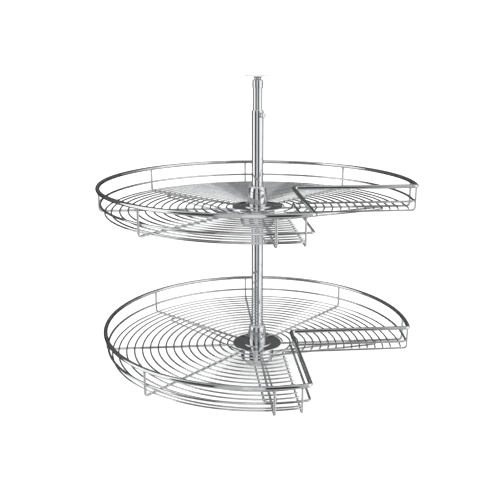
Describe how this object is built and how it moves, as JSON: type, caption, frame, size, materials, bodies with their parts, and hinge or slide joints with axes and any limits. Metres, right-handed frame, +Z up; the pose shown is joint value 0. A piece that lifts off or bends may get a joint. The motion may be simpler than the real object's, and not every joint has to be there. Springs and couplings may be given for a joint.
{
  "type": "corner carousel",
  "caption": "Revolving three-quarter-round chrome wire baskets clamped to a telescopic column that turns between a base plate and a top plate, for a kitchen corner unit.",
  "frame": {"origin": "centre of the base plate's underside, on the column's axis, where it rests on the cabinet floor", "axes": "+Z up along the column; the open quarter of the baskets faces +X and -Y, so +X and +Y are square to its sides"},
  "size_m": [0.7596, 0.7596, 0.7151],
  "materials": {
    "chrome": "bright chrome plate on welded steel wire and tube",
    "white_nylon": "natural white moulded nylon, satin",
    "zinc_steel": "bright zinc-plated turned steel"
  },
  "bodies": {
    "base": {"base_plate": "white_nylon", "pivot_pin": "zinc_steel", "thrust_washer": "zinc_steel"},
    "column": {"foot_bush": "white_nylon", "outer_tube": "chrome", "guide_bush": "white_nylon", "thumb_nut": "chrome"},
    "thumb_screw": {"thumb_screw": "chrome"},
    "mast": {"inner_tube": "chrome", "mast_guide": "white_nylon", "mast_cap": "chrome", "top_pin": "chrome"},
    "top_plate": {"top_plate": "white_nylon"},
    "lower_basket": {"lower_rim": "chrome", "lower_mid_rail": "chrome", "lower_floor_grid": "chrome", "lower_notch_wire": "chrome", "lower_spoke_0": "chrome", "lower_spoke_45": "chrome", "lower_spoke_90": "chrome", "lower_spoke_180": "chrome", "lower_spoke_225": "chrome", "lower_spoke_270": "chrome", "lower_upright_135": "chrome", "lower_brace_0": "chrome", "lower_brace_135": "chrome", "lower_brace_270": "chrome", "lower_hub_cup": "chrome", "lower_hub_disc": "chrome", "lower_hub_collar": "chrome", "lower_clamp_screw": "zinc_steel"},
    "upper_basket": {"upper_rim": "chrome", "upper_mid_rail": "chrome", "upper_floor_grid": "chrome", "upper_notch_wire": "chrome", "upper_spoke_0": "chrome", "upper_spoke_45": "chrome", "upper_spoke_90": "chrome", "upper_spoke_180": "chrome", "upper_spoke_225": "chrome", "upper_spoke_270": "chrome", "upper_upright_135": "chrome", "upper_brace_0": "chrome", "upper_brace_135": "chrome", "upper_brace_270": "chrome", "upper_hub_cup": "chrome", "upper_hub_disc": "chrome", "upper_hub_collar": "chrome", "upper_clamp_screw": "zinc_steel"}
  },
  "joints": [
    {"name": "column_turn", "type": "hinge", "parent": "base", "child": "column", "pos_m": [0, 0, 0.01], "axis": [0, 0, 1], "continuous": true},
    {"name": "mast_height", "type": "slide", "parent": "column", "child": "mast", "axis": [0, 0, 1], "range_m": [-0.04, 0.1]},
    {"name": "top_plate_swivel", "type": "hinge", "parent": "mast", "child": "top_plate", "pos_m": [0, 0, 0.709], "axis": [0, 0, 1], "continuous": true},
    {"name": "thumb_screw_turn", "type": "hinge", "parent": "column", "child": "thumb_screw", "pos_m": [0, 0, 0.6252], "axis": [0.5, -0.866, 0], "range_deg": [0, 540]},
    {"name": "lower_basket_height", "type": "slide", "parent": "column", "child": "lower_basket", "axis": [0, 0, 1], "range_m": [0, 0.1]},
    {"name": "upper_basket_height", "type": "slide", "parent": "column", "child": "upper_basket", "axis": [0, 0, 1], "range_m": [-0.1, 0.12]}
  ],
  "couplings": [
    {"joint": "top_plate_swivel", "follows": "column_turn", "ratio": -1}
  ]
}
